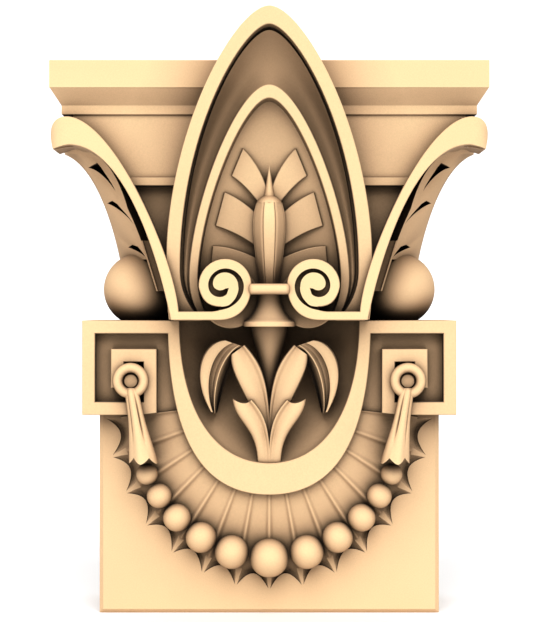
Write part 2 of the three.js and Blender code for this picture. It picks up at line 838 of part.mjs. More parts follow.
function torch() {
  const bandMiddle = voluteHeight - bandSink;
  const [, shoulder] = inLeaf([0, budShoulder]);
  const [, tip] = inLeaf([0, budTip]);
  const axis = archFaceProud - torchSink;
  const bud = budShares.map(([radius, rise]) => [radius * budRadius, mix(bandMiddle, shoulder, rise)]);
  const budForm = turned([[0, bandMiddle], ...bud, [0, tip]], budSides, 0, axis, budDepth);
  add(leaned(budForm, archLean, archFoot));

  const band = (cut, proud) => {
    const side = bandHalf - cut;
    const high = bandHeight / 2 - cut;
    const low = high - bandRound;
    const right = [[side - bandRound, -high], [side, -low], [side, low], [side - bandRound, high]];
    const outline = [...right, ...right.map(([x, z]) => [-x, z]).reverse()];
    return outline.map(([x, z]) => [x, faceY - proud, bandMiddle + z]);
  };
  const bandFront = bandProud - bandRound;
  add(skinned([band(0, torchFootProud), band(0, bandFront), band(bandRound, bandProud)]));

  const footBase = blockTop - torchFootDrop;
  const foot = torchFootShares.map(([radius, rise]) => [
    radius * torchFootRadius,
    mix(footBase, bandMiddle, rise),
  ]);
  add(turned([[0, footBase], ...foot, [0, bandMiddle]], 16, 0, torchFootProud, torchFootDepth));
  const drop = dropShares.map(([radius, fall]) => [
    radius * torchFootRadius,
    footBase + lap - dropLength * fall,
  ]);
  add(turned([[0, footBase + lap], ...drop, [0, footBase - dropLength]], 12, 0, dropProud, 1));
}

// Ribbon: a strap from the volute, out to the corner and up to the rolled horn
function hornCurve(steps) {
  const swell = [abacusHalf + hornSwell, abacusBase - hornClearance];
  const crown = [abacusHalf - hornCrownInset, hornRootInner[1]];
  return bezier(hornTip, swell, crown, hornRootInner, steps);
}

function wound(turns) {
  return turns.map(([bearing, radius]) => {
    const angle = THREE.MathUtils.degToRad(bearing);
    return [voluteAcross + radius * Math.cos(angle), voluteHeight + radius * Math.sin(angle)];
  });
}

function ribbons() {
  const coil = wound(coilTurns);
  const barFoot = ribbonFoot[1];
  const bends = voluteTurnIn.map(([across, fall]) => [
    voluteAcross + voluteRadius * across,
    mix(voluteHeight, barFoot, fall),
  ]);
  const turnIn = bezier(coil[coil.length - 1], ...bends, 7);
  const outline = [
    ...ribbonEdge,
    ...hornCurve(9).slice(0, -1),
    ...[...ribbonInnerEdge].reverse(),
    [voluteAcross + voluteRadius * coilFootShare, ribbonFootInner[1]],
    ...coil,
    ...turnIn.slice(1),
  ];
  addPair(slab(outlined(outline), ribbonBack, ribbonProud));
  const groove = [...wound(grooveOuter), ...wound(grooveInner)];
  cutPair(slab(outlined(groove), ribbonProud - grooveDepth, ribbonProud + lap));
  const lobe = new THREE.Shape();
  lobe.absarc(voluteAcross - lobeInset, voluteHeight - lobeSink, lobeRadius, 0, 2 * Math.PI, false);
  addPair(slab(lobe, 0, lobeProud, 12));
}

// The horn is a roll that runs back to the wall under the end of the abacus, thinner at the wall
function roll() {
  const outline = [
    [hornRoot[0] - rollCover, hornRoot[1]],
    ...hornCurve(8),
    [hornRootInner[0] - rollCover, hornRootInner[1]],
  ];
  const [heartX, heartZ] = [hornRoot[0] - rollCover, hornRootInner[1]];
  const front = ribbonProud - hornRoundDepth + lap;
  const level = ([share, size]) => {
    const y = faceY - mix(wallProud, front, share);
    return outline.map(([x, z]) => [mix(heartX, x, size), y, mix(heartZ, z, size)]);
  };
  return skinned(rollShares.map(level));
}

// The front of the horn is rounded off towards its outer end
function hornRound() {
  const from = hornRoot[0] + lap;
  const steps = 3;
  const profile = [[from, ribbonProud + lap]];
  for (let i = 0; i <= steps; i += 1) {
    const angle = (i / steps) * (Math.PI / 2);
    const fall = hornRoundDepth * (1 - Math.cos(angle));
    profile.push([from + hornRoundWidth * Math.sin(angle), ribbonProud - fall]);
  }
  const clear = abacusHalf + hornSwell;
  profile.push([clear, ribbonProud - hornRoundDepth]);
  profile.push([clear, ribbonProud + lap]);
  const level = (height) => profile.map(([x, proud]) => [x, faceY - proud, height]);
  return skinned([level(hornTip[1] - hornRoundDepth), level(abacusBase - hornClearance)]);
}

// Flank: the side of the capital, hollowed from the horn down to the block
const leafFoot = blockTop + leafFootRise;
const leafTip = flankEdge[flankEdge.length - 1][1] - leafTipCut;

function leafSides(height) {
  const edge = Math.min(acrossAt(flankEdge, height), abacusHalf - leafTipInset);
  const open = THREE.MathUtils.clamp((leafTip - leafGapTopDrop - height) / leafGapRun, 0, 1);
  return [edge, Math.min(acrossAt(ribbonEdge, height) + leafGap * open, edge - leafGapCover)];
}

function flank() {
  const ringAt = (height, leafy) => {
    const [edge, inner] = leafSides(height);
    const share = (height - leafFoot) / (leafTip - leafFoot);
    const edgeProud = leafy ? mix(leafEdgeFootProud, leafEdgeTopProud, share) : leafEdgeFootProud;
    const innerProud = leafy ? leafInnerProud : leafEdgeFootProud;
    const gapFloor = leafy ? leafGapFloor : leafEdgeFootProud;
    const back = leafEdgeFootProud - leafGapCover;
    const root = acrossAt(ribbonEdge, height) - leafGapCover;
    const swell = (t) => [mix(edge, inner, t), mix(edgeProud, innerProud, t ** 0.8)];
    const points = [
      [flankCore, wallProud],
      [Math.min(edge, abacusHalf - flankWallInset), wallProud],
      [edge, edgeProud],
      swell(0.3),
      swell(0.65),
      [inner, innerProud],
      [Math.min(inner - leafFootStep, root + leafGapCover + leafFootStep), gapFloor],
      [root, gapFloor],
      [root, back],
      [flankCore, back],
    ];
    return points.map(([x, proud]) => [x, faceY - proud, height]);
  };
  const rings = [ringAt(blockTop - lap, false), ringAt(leafFoot - leafFootStep, false)];
  const steps = 12;
  for (let i = 0; i <= steps; i += 1) rings.push(ringAt(mix(leafFoot, leafTip, i / steps), true));
  rings.push(ringAt(leafTip + leafTipCover, true));
  return skinned(rings);
}

// A short strip that stands between the ribbon and the ball
function strip() {
  const foot = leafFoot - stripDrop;
  const top = foot + stripLength;
  const [footEdge, topEdge] = [acrossAt(ribbonEdge, foot), acrossAt(ribbonEdge, top)];
  const outline = [
    [footEdge - stripRoot, foot],
    [footEdge + stripWidth, foot],
    [topEdge + stripWidth, top],
    [topEdge - stripRoot, top],
  ];
  return slab(outlined(outline), leafEdgeFootProud, stripProud);
}

// Eyes between the lobes of the long leaf, cut straight in
function eyes() {
  const place = ([across, rise]) => {
    const height = mix(leafFoot, leafTip, rise);
    const [edge] = leafSides(height);
    return [mix(acrossAt(ribbonEdge, height), edge, across), height];
  };
  const along = (from, to, across, rise) => [mix(from[0], to[0], across), mix(from[1], to[1], rise)];
  for (const [outer, top, side, foot] of leafEyes.map((eye) => eye.map(place))) {
    const left = bezier(outer, along(outer, top, 0.9, 0), along(outer, foot, 0.72, 0.5), foot, 3);
    const right = bezier(foot, along(foot, side, 0.3, 0.42), along(foot, side, 0.75, 0.75), side, 3);
    cutPair(slab(outlined([...left, ...right.slice(1), top]), eyeFloorProud, ribbonProud + lap));
  }
}

// A carved leaf between two edges in the niche. Its section gives the rise at shares of its width.
function carvedLeaf([outer, inner], [base, crown], section, thickness) {
  const rows = 6;
  const place = ([across, rise]) => [nicheHalf * across, mix(nicheFoot, blockTop, rise)];
  const left = bezier(...outer.map(place), rows);
  const right = bezier(...inner.map(place), rows);
  const rings = left.map(([x, z], i) => {
    const share = i / rows;
    const front = mix(base, crown, Math.sin((share * Math.PI) / 2));
    const swell = Math.min(1, 0.35 + 2 * share);
    const face = section.map(([t, rise]) => [
      mix(x, right[i][0], t),
      front + rise * swell,
      mix(z, right[i][1], t),
    ]);
    const back = [0.9, 0.5, 0.1].map((t) => [
      mix(x, right[i][0], t),
      front - thickness * mix(0.4, 1, Math.sin(Math.PI * t)),
      mix(z, right[i][1], t),
    ]);
    return [...face, ...back].map(([across, proud, height]) => [across, faceY - proud, height]);
  });
  return skinned(rings);
}

function plant() {
  const right = stemShares.map(([across, rise]) => [nicheHalf * across, mix(nicheFoot, blockTop, rise)]);
  const left = right.slice(0, -1).reverse().map(([x, z]) => [-x, z]);
  add(slab(outlined([...right, ...left]), stemBack, stemProud));
  addPair(carvedLeaf(lowerLeaf, lowerLeafProud, broadSection, leafThickness));
  addPair(carvedLeaf(upperLeaf, upperLeafProud, broadSection, leafThickness));
  addPair(carvedLeaf(droopLeaf, droopLeafProud, droopSection, droopThickness));
}

function joined(whole) {
  const grown = forms.splice(0).reduce((sum, form) => sum.add(form), whole);
  return cuts.splice(0).reduce((rest, cut) => rest.subtract(cut), grown);
}

// The body: shaft, abacus, bell, key blocks, collar, niche and shell
let capital = solidOf(shaft());
add(abacus());
add(bellAndNeck());
add(blocks());
addPair(keyHook());
add(shellGround());
cuts.push(solidOf(shellWaste()));
cutPair(keyPocket());
cuts.push(solidOf(leafRoom()));
capital = joined(capital);
add(collar());
cuts.push(solidOf(niche()));
capital = joined(capital);

// The flanks, the pointed leaf and the ribbons
const belowLeaf = rectangle(-capitalWidth, capitalWidth, -capitalWidth, archFoot);
addPair(flank());
addPair(roll());
forms.push(solidOf(pointedLeaf()).subtract(solidOf(slab(belowLeaf, wallProud, capitalHeight))));
ribbons();
eyes();
cutPair(hornRound());
capital = joined(capital);

// The smaller carving that stands on them
addPair(strip());
petals();
torch();
plant();
beads();
addPair(ring());
addPair(peg());
addPair(pendant());
addPair(ball(ballRadius, blockHalf - ballInset, blockTop + ballRadius - ballSeat, ballProud, 14));
capital = joined(capital);

const geometry = cleaned(capital.getMesh());
geometry.computeVertexNormals();

const stone = new THREE.MeshStandardMaterial({ color: 0xe6c793, roughness: 0.8, metalness: 0 });
const mesh = new THREE.Mesh(geometry, stone);
mesh.name = 'capital';
const group = new THREE.Group();
group.add(mesh);

export default group;
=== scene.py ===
import math
import bmesh
import bpy
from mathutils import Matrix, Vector


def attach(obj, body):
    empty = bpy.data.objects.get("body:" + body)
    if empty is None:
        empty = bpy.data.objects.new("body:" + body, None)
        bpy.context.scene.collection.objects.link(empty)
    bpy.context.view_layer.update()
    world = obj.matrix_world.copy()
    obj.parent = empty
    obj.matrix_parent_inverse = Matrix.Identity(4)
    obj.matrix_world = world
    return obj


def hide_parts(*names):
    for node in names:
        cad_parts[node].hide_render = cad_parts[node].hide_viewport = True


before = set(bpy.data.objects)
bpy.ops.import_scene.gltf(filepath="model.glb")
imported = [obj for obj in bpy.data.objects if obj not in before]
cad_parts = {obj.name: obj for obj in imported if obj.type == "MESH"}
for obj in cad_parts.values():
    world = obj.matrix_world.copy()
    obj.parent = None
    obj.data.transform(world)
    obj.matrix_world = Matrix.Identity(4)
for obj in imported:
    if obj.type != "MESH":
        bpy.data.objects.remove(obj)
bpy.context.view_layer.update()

# Shaft
# The foot of the capital is a plain squared block of limestone as wide as the pilaster below. The mason
# saws its bed and back flat and takes a small chamfer off the front arrises at both sides and the foot.
mm = 0.001
shaft_width = 300
shaft_depth = 100
shaft_chamfer = 3.5
shaft_half = shaft_width / 2
wall = -shaft_depth
block_base = 175.7
block_height = 82.5
block_top = block_base + block_height
lap = 1
hair = 0.01


def solid(rings):
    """Skins closed rings of (across, height, proud of the shaft's face) and closes both ends."""
    count = len(rings[0])
    mesh = bmesh.new()
    loops = [[mesh.verts.new((x * mm, (-shaft_depth / 2 - proud) * mm, z * mm)) for x, z, proud in ring]
             for ring in rings]
    for low, high in zip(loops, loops[1:]):
        for i in range(count):
            j = (i + 1) % count
            mesh.faces.new((low[i], low[j], high[j], high[i]))
    mesh.faces.new(loops[0][::-1])
    mesh.faces.new(loops[-1])
    mesh.normal_update()
    bmesh.ops.triangulate(mesh, faces=[f for f in mesh.faces if len(f.verts) > 4])
    if mesh.calc_volume(signed=True) < 0:
        bmesh.ops.reverse_faces(mesh, faces=mesh.faces)
    data = bpy.data.meshes.new("form")
    mesh.to_mesh(data)
    mesh.free()
    return bpy.data.objects.new("form", data)


def shaft_ring(z, sunk):
    half = shaft_half
    flat = half - shaft_chamfer + sunk
    return [(-half, z, wall), (half, z, wall), (half, z, -shaft_chamfer), (flat, z, -sunk),
            (-flat, z, -sunk), (-half, z, -shaft_chamfer)]


shaft_foot = []
for x, z, proud in shaft_ring(0, shaft_chamfer - 2 * hair):
    shaft_foot.append((x, z, min(proud, hair - shaft_chamfer)))
capital = solid([shaft_foot, shaft_ring(shaft_chamfer, 0), shaft_ring(block_base + lap, 0)])
capital.name = "capital_carved"
bpy.context.scene.collection.objects.link(capital)

# Key blocks
# Two squared shoulders, carved on the front with a raised bar that hooks round like a Greek key. The
# ground is sunk evenly with a flat chisel, and sunk deeper inside the hook so that the ring hangs free.
block_overhang = 13.4
block_half = shaft_half + block_overhang
arris = 0.6
key_proud = 16
key_floor = 4
key_pocket = -14
bar = 11.3
collar_half = 88.5
collar_run_in = 3
key_inner_top = 233.3
hook_left = 138.1
hook_right = 109.7
hook_foot = 199.3


def inset(outline, distance):
    """Moves a closed outline inwards by a distance, mitred at its corners."""
    count = len(outline)
    turn = sum(a[0] * b[1] - b[0] * a[1] for a, b in zip(outline, outline[1:] + outline[:1]))
    hand = 1 if turn > 0 else -1
    moved = []
    for i in range(count):
        here = Vector(outline[i])
        before = (here - Vector(outline[i - 1])).normalized()
        after = (Vector(outline[(i + 1) % count]) - here).normalized()
        inward = Vector((-before.y - after.y, before.x + after.x)) * hand
        stretch = max(inward.length_squared / 2, 0.5)
        moved.append(tuple(here + inward * distance / stretch))
    return moved


def slab(outline, back, front, edge=arris):
    """A form with one outline from back to front, and a small worn arris round its front."""
    rings = [[(x, z, back) for x, z in outline], [(x, z, front - edge) for x, z in outline]]
    if edge:
        rings.append([(x, z, front) for x, z in inset(outline, edge)])
    return solid(rings)


def mirrored(form):
    """The same form on the other side of the middle line."""
    mesh = bmesh.new()
    mesh.from_mesh(form.data)
    for vert in mesh.verts:
        vert.co.x = -vert.co.x
    bmesh.ops.reverse_faces(mesh, faces=mesh.faces)
    data = bpy.data.meshes.new("form")
    mesh.to_mesh(data)
    mesh.free()
    return bpy.data.objects.new("form", data)


def pair(form):
    return [form, mirrored(form)]


def work(block, forms, how="UNION"):
    """Leaves forms standing on the block, or cuts them out of it, as one closed surface."""
    tools = bpy.data.collections.new("tools")
    for form in forms:
        tools.objects.link(form)
    step = block.modifiers.new("step", "BOOLEAN")
    step.operation = how
    step.operand_type = "COLLECTION"
    step.collection = tools
    step.solver = "MANIFOLD"
    graph = bpy.context.evaluated_depsgraph_get()
    worked = bpy.data.meshes.new_from_object(block.evaluated_get(graph))
    block.modifiers.clear()
    block.data = worked
    for form in forms:
        bpy.data.objects.remove(form)
    bpy.data.collections.remove(tools)


def rectangle(left, right, low, high):
    return [(left, low), (right, low), (right, high), (left, high)]


key_path = [
    (-block_half, block_base), (bar - hook_right, block_base), (bar - hook_right, key_inner_top),
    (-hook_left, key_inner_top), (-hook_left, hook_foot), (bar - hook_left, hook_foot),
    (bar - hook_left, key_inner_top - bar), (-hook_right, key_inner_top - bar),
    (-hook_right, block_base + bar), (bar - block_half, block_base + bar),
    (bar - block_half, block_top - bar), (collar_run_in - collar_half, block_top - bar),
    (collar_run_in - collar_half, block_top), (-block_half, block_top),
]
pocket = rectangle(bar - hook_left, -hook_right, block_base + bar, key_inner_top - bar)
ground = []
for z in (block_base, block_top):
    ground.append([(-block_half, z, wall), (block_half, z, wall), (block_half, z, key_floor),
                   (-block_half, z, key_floor)])
work(capital, [solid(ground)])
work(capital, pair(slab(key_path, key_floor - 2 * lap, key_proud)))
work(capital, pair(slab(pocket, key_pocket, key_floor + lap, 0)), "DIFFERENCE")

# Shell under the collar
# A fan of hollow flutes between sharp ribs, carved on the face of the shaft. Each rib runs out to a point,
# and the rim is scalloped between the points. It is cut in with gouges from the collar outwards.
shell_centre = 189
shell_half = 146
shell_drop = 169
rib_count = 7
first_gap = 9.9
gap_growth = 0.29
scallop = 13
ridge_proud = 12
tip_proud = 0.6
flute_depth = 0.4
rim_flute_depth = 8
edge_rise = 0.45
edge_from = 0.965
shell_mean = 155
rib_flat = 0.02
rib_side = 0.16
waste = 30
end_trim = 0.4
ground_reach = (0.35, 0.9)
ground_steps = 60
ground_rise = 2
flute_shares = [0, 0.03, 0.07, 0.12, 0.18, 0.25, 0.33, 0.41, 0.5, 0.59, 0.67, 0.75, 0.82, 0.88, 0.93, 0.97]
shell_reaches = [0.4, 0.46, 0.52, 0.58, 0.64, 0.7, 0.76, 0.82, 0.87, 0.91, 0.94, 0.965, 0.985, 1]


def mix(a, b, share):
    return a + (b - a) * share


def rib_place(n):
    return math.copysign(first_gap * abs(n) + gap_growth * n * n, n)


def shell_point(degrees, reach, proud):
    angle = math.radians(degrees)
    radius = reach / math.hypot(math.sin(angle) / shell_half, math.cos(angle) / shell_drop)
    return (radius * math.sin(angle), shell_centre - radius * math.cos(angle), proud)


def shell_column(degrees, share):
    """One line of the fan from the collar out to the rim, with the waste above it."""
    from_rib = max(min(share, 1 - share) - rib_flat, 0)
    narrow = (1 - math.cos(math.pi * min(from_rib / rib_side, 1))) / 2
    crisp = math.sin(math.pi * share) ** 0.8
    column = []
    for reach in shell_reaches:
        ridge = mix(ridge_proud, tip_proud, reach ** 2.5)
        lift = 1 - edge_rise * max((reach - edge_from) / (1 - edge_from), 0)
        depth = mix(flute_depth, rim_flute_depth, reach ** 3) * lift
        out = reach * (1 - scallop / shell_mean * (1 - abs(2 * share - 1) ** 2) * reach ** 6)
        column.append(shell_point(degrees, out, ridge - depth * mix(narrow, crisp, reach ** 4)))
    return column + [column[-1][:2] + (waste,), column[0][:2] + (waste,)]


columns = []
for rib in range(-rib_count, rib_count):
    for share in flute_shares:
        columns.append(shell_column(mix(rib_place(rib), rib_place(rib + 1), share), share))
columns.append(shell_column(rib_place(rib_count), 0))
last_rib = rib_place(rib_count) - end_trim
rise = []
for start, end, reach in ((-last_rib, last_rib, ground_reach[1]), (last_rib, -last_rib, ground_reach[0])):
    for i in range(ground_steps + 1):
        rise.append(shell_point(mix(start, end, i / ground_steps), reach, 0)[:2])
work(capital, [slab(rise, -2 * lap, ridge_proud + ground_rise, 0)])
work(capital, [solid(columns)], "DIFFERENCE")

# Collar and niche
# A flat horseshoe band joins the two key blocks and frames a deep niche. The niche is hollowed like half
# a bowl, smooth walled, with its darkest depth up under the foot of the torch.
collar_foot = 106
collar_top_width = 10
collar_foot_width = 27.5
collar_back = -14
collar_steps = 48


def bezier(a, b, c, d, steps):
    curve = []
    for i in range(steps + 1):
        t = i / steps
        weights = ((1 - t) ** 3, 3 * (1 - t) ** 2 * t, 3 * (1 - t) * t * t, t ** 3)
        curve.append(tuple(sum(w * p[k] for w, p in zip(weights, (a, b, c, d))) for k in range(2)))
    return curve


def horseshoe(half, foot, straight, belly, steps):
    turn = (half, mix(block_top, foot, straight))
    side = bezier((half, block_top), turn, (half * belly, foot), (0, foot), steps)
    return side + [(-x, z) for x, z in side[-2::-1]]


outer_collar = horseshoe(collar_half, collar_foot, 0.79, 0.54, collar_steps)
inner_collar = horseshoe(collar_half - collar_top_width, collar_foot + collar_foot_width, 0.665, 0.575,
                         collar_steps)
work(capital, [slab(outer_collar, collar_back, key_proud)])
niche_profile = [(1.03, -2), (1, 0.6), (0.995, 7), (0.975, 12), (0.94, 16.5), (0.885, 21), (0.81, 25.5),
                 (0.72, 29.5), (0.6, 33.3), (0.45, 36.3), (0.27, 37.8), (0.05, 38)]
niche_rings = []
for scale, depth in niche_profile:
    proud = key_proud - depth
    niche_rings.append([(x * scale, block_top - (block_top - z) * scale, proud) for x, z in inner_collar])
work(capital, [solid(niche_rings)], "DIFFERENCE")

# Neck and bell
# Behind the carving stands the neck, and the bell spreads above it in a shallow cove to meet the abacus.
# The bell ends below in a narrow flat band that throws a shadow on the neck.
neck_proud = 19
neck_lap = 0.2
neck_rows = 24
bell_foot = 374.5
bell_band = 8
band_step = 0.3
bell_band_proud = 29
bell_foot_proud = 26
bell_top_proud = 27.5
bell_rows = 20
abacus_base = 436
ribbon_outer = ((84.3, block_top + 0.5), (97.8, 324.4), (127.6, 408.2), (170.9, 409.1))
ribbon_inner = ((77.8, block_top + 7.7), (80.9, 310.2), (131, 428.1), (171.7, 433.3))
sweep_steps = 60
outer_edge = bezier(*ribbon_outer, sweep_steps)
inner_edge = bezier(*ribbon_inner, sweep_steps)


def across_at(curve, z):
    """How far out a rising curve is at a given height."""
    for (x0, z0), (x1, z1) in zip(curve, curve[1:]):
        if z1 >= z:
            return mix(x0, x1, (z - z0) / (z1 - z0)) if z1 > z0 else x1
    return curve[-1][0]


def body_ring(z, proud):
    half = across_at(outer_edge, z) - lap
    return [(half, z, wall), (half, z, proud), (-half, z, proud), (-half, z, wall)]


body = []
for i in range(neck_rows + 1):
    body.append(body_ring(mix(block_top - neck_lap, bell_foot, i / neck_rows), neck_proud))
bell_low = bell_foot + bell_band
body.append(body_ring(bell_foot + band_step, bell_band_proud - arris))
body.append(body_ring(bell_foot + band_step + arris, bell_band_proud))
body.append(body_ring(bell_low - arris, bell_band_proud))
for i in range(bell_rows + 1):
    share = i / bell_rows
    proud = mix(bell_foot_proud, bell_top_proud, share ** 2)
    body.append(body_ring(mix(bell_low, abacus_base + lap, share), proud))
work(capital, [solid(body)])

# Abacus
# The square slab that carries the course above. Its face overhangs the shaft alike in front and at both
# ends, and below it are a flat bevel and a fillet, worked with a straight edge and a wide chisel.
abacus_top = 482
abacus_overhang = 39
abacus_half = shaft_half + abacus_overhang
abacus_proud = abacus_overhang
abacus_bevel = 9.5
fillet_top = 444
face_base = 458.5


def abacus_ring(inset_by, z):
    half = abacus_half - inset_by
    return [(half, z, wall), (half, z, abacus_proud - inset_by), (-half, z, abacus_proud - inset_by),
            (-half, z, wall)]


work(capital, [solid([
    abacus_ring(abacus_bevel + arris, abacus_base), abacus_ring(abacus_bevel, abacus_base + arris),
    abacus_ring(abacus_bevel, fillet_top), abacus_ring(arris, face_base - arris), abacus_ring(0, face_base),
    abacus_ring(0, abacus_top - arris), abacus_ring(arris, abacus_top),
])])

# Flanks with the long leaves
# Each side of the capital is hollowed from the horn down to the block. An acanthus leaf climbs its front
# corner behind the ribbon, in long overlapping lobes with deep eyes drilled and cut between them.
flank_edge = bezier((130.6, block_top), (131, 310), (150, 402.7), (188.4, 407.7), sweep_steps)
flank_reach = 184
flank_wall_reach = 171
flank_root = 60
leaf_foot = 312
leaf_tip = 406.4
edge_proud_foot = -48
edge_proud_tip = -22
leaf_inner = 4
leaf_gap = 9
gap_top_drop = 6
gap_run = 44
gap_floor = -8
leaf_rows = 96
leaf_columns = 16
lobe_run = 3.15
lobe_slant = 0.85
lobe_start = 0.12
lobe_rise = 2.4
leaf_cover = 4.6
leaf_lip = 0.5
root_bury = 3
back_bury = 5


def lobe_relief(share, t):
    """Rise of the leaf over its plain surface: each lobe swells, then dips where the next one starts."""
    along = share * lobe_run + lobe_slant * t + lobe_start
    within = along - math.floor(along)
    return lobe_rise * math.sin(math.pi * within) ** 0.8 * math.sin(math.pi * min(t * 1.25, 1)) ** 0.8


def flank_ring(z, leafy):
    edge = min(across_at(flank_edge, z), flank_reach)
    root = across_at(outer_edge, z)
    opened = min(max((leaf_tip - gap_top_drop - z) / gap_run, 0), 1)
    inner = min(root + leaf_gap * opened, edge - root_bury)
    share = (z - leaf_foot) / (leaf_tip - leaf_foot)
    edge_proud = mix(edge_proud_foot, edge_proud_tip, share) if leafy else edge_proud_foot
    inner_proud = leaf_inner if leafy else edge_proud_foot
    ring = [(flank_root, z, wall), (min(edge, flank_wall_reach), z, wall), (edge, z, edge_proud)]
    for k in range(1, leaf_columns):
        t = k / leaf_columns
        rise = lobe_relief(share, t) if leafy else 0
        ring.append((mix(edge, inner, t), z, mix(edge_proud, inner_proud, t ** 0.8) + rise))
    floor = gap_floor if leafy else edge_proud_foot
    side = min(inner - 0.6, root + 0.4)
    hidden = edge_proud_foot - back_bury
    lip_drop = lap if leafy else 0
    ring += [(inner, z, inner_proud), (inner - leaf_lip, z, inner_proud - lip_drop), (side, z, floor),
             (root - root_bury, z, floor), (root - root_bury, z, hidden), (flank_root, z, hidden)]
    return [(-x, height, proud) for x, height, proud in ring]


plain_rows = 12
flank_rings = []
for i in range(plain_rows + 1):
    flank_rings.append(flank_ring(mix(block_top - lap, leaf_foot - leaf_lip, i / plain_rows), False))
for i in range(leaf_rows + 1):
    flank_rings.append(flank_ring(mix(leaf_foot, leaf_tip, i / leaf_rows), True))
flank_rings.append(flank_ring(leaf_tip + leaf_cover, True))
work(capital, pair(solid(flank_rings)))

eyes = [
    ((161.5, 394.2), (152, 397.4), (148.3, 393), (136, 372.5)),
    ((145.4, 363), (139.8, 364.6), (134.8, 361.4), (119.6, 343)),
    ((126.2, 323.4), (121.6, 325.4), (116.2, 323.4), (109.2, 314)),
]
eye_steps = 14
eye_levels = ((0.6, -68), (0.85, -48), (1, -30), (1, 60))
for outer, top, wide, foot in eyes:
    left = bezier(outer, (mix(outer[0], top[0], 0.9), outer[1] - 1.5),
                  (mix(outer[0], foot[0], 0.72), mix(outer[1], foot[1], 0.5)), foot, eye_steps)
    right = bezier(foot, (mix(foot[0], wide[0], 0.3), mix(foot[1], wide[1], 0.42)),
                   (mix(foot[0], wide[0], 0.75), mix(foot[1], wide[1], 0.75)), wide, eye_steps)
    outline = [(-x, z) for x, z in left[:-1] + right + [top]]
    eye_rings = []
    for scale, proud in eye_levels:
        eye_rings.append([(mix(-foot[0], x, scale), mix(foot[1], z, scale), proud) for x, z in outline])
    work(capital, pair(solid(eye_rings)), "DIFFERENCE")

strip_drop = 28
strip_foot = leaf_foot - strip_drop
strip_height = 44
strip_width = 8.5
strip_back = -48
strip_proud = 14
strip_face_proud = 12
strip_root_proud = 9
strip_bury = 4
strip_edge = 1.6
strip_rings = []
for z in (strip_foot, strip_foot + strip_height):
    right = -across_at(outer_edge, z) + strip_bury
    left = -across_at(outer_edge, z) - strip_width
    strip_rings.append([(right, z, strip_back), (right, z, strip_root_proud),
                        (left + strip_edge, z, strip_face_proud), (left + strip_edge - 0.3, z, strip_proud),
                        (left, z, strip_proud), (left, z, strip_back)])
work(capital, pair(solid(strip_rings)))

# Balls
# A plain ball sits on each key block in the hollow under the leaf. It is turned with templates until it is
# round, and its back stays part of the block.
ball_radius = 32.3
ball_proud = -22
ball_across = 115.8
ball_seat = 4.8
ball_rows = 40
pole = 0.04


def sphere(radius, across, height, proud, rows):
    """A ball of even rows, closed at its two ends."""
    rings = []
    for i in range(rows + 1):
        lean = math.pi * min(max(i, pole), rows - pole) / rows
        ring = []
        for k in range(2 * rows):
            turn = math.pi * k / rows
            ring.append((across + radius * math.sin(lean) * math.cos(turn),
                         height + radius * math.sin(lean) * math.sin(turn), proud + radius * math.cos(lean)))
        rings.append(ring)
    return solid(rings)


ball_height = block_top + ball_radius - ball_seat
work(capital, pair(sphere(ball_radius, -ball_across, ball_height, ball_proud, ball_rows)))

# Pointed leaf
# The tall leaf in the middle leans forward, and its tip stands clear above the abacus. Two raised rims
# follow its outline, with a narrow sunk line and a deep cove between them and a shallow bowl inside.
arch_top = 522.6
arch_wide = 300
arch_half = 89
arch_foot = block_top + lap
arch_proud = 26.5
arch_lean = 0.172
back_sink = 5
back_lean = 0.2
inner_top = 458.5
inner_wide = 293.4
inner_half = 69.4
rim_sink = 4
rim_width = 12
rim_width_top = 15
quirk_depth = 10.7
quirk_more = 6.5
cove_depth = 7
cove_more = 6
cove_belly = 1.5
cove_belly_more = 9
cove_end_more = 8
cove_rows = 12
inner_width = 7.7
inner_width_top = 11.2
bowl_depth = 25
bowl_edge_depth = 17
bowl_rows = 13
tip_run = 150
side_rows = 56
foot_rows = 18
shoulder_run = 28
rim_shoulder_loss = 7
rim_flank = 120
rim_foot_drop = 64
outer_foot_drop = 190
inner_flank = 59
inner_shoulder_share = 36


def pointed(top, wide, half, shoulder, flank_length, foot_drop):
    side = bezier((0, top), (shoulder, top), (half, wide + flank_length), (half, wide), side_rows)
    for i in range(1, foot_rows + 1):
        angle = i / foot_rows * math.pi / 2
        side.append((half * math.cos(angle) if i < foot_rows else 0, wide - foot_drop * math.sin(angle)))
    return side + [(-x, z) for x, z in side[-2:0:-1]]


def leaf_front(z):
    return arch_proud + arch_lean * (z - arch_foot)


def sunk(outline, depth, more_above=0):
    """An outline at a depth under the leaf's face, which may grow towards the tip."""
    form = []
    for x, z in outline:
        towards_tip = min(max((z - arch_wide) / tip_run, 0), 1)
        form.append((x, z, leaf_front(z) - depth - more_above * towards_tip))
    return form


def rim(band, band_top, drop=rim_foot_drop):
    shoulder = shoulder_run - rim_shoulder_loss * min(band_top / rim_width_top, 1)
    return pointed(arch_top - band_top, arch_wide, arch_half - band, shoulder, rim_flank, drop)


def inner_rim(band, band_top):
    shoulder = shoulder_run * (1 - band / inner_shoulder_share)
    return pointed(inner_top - band_top, inner_wide, inner_half - band, shoulder, inner_flank, rim_foot_drop)


def between(a, b, share):
    return [(mix(p[0], q[0], share), mix(p[1], q[1], share)) for p, q in zip(a, b)]


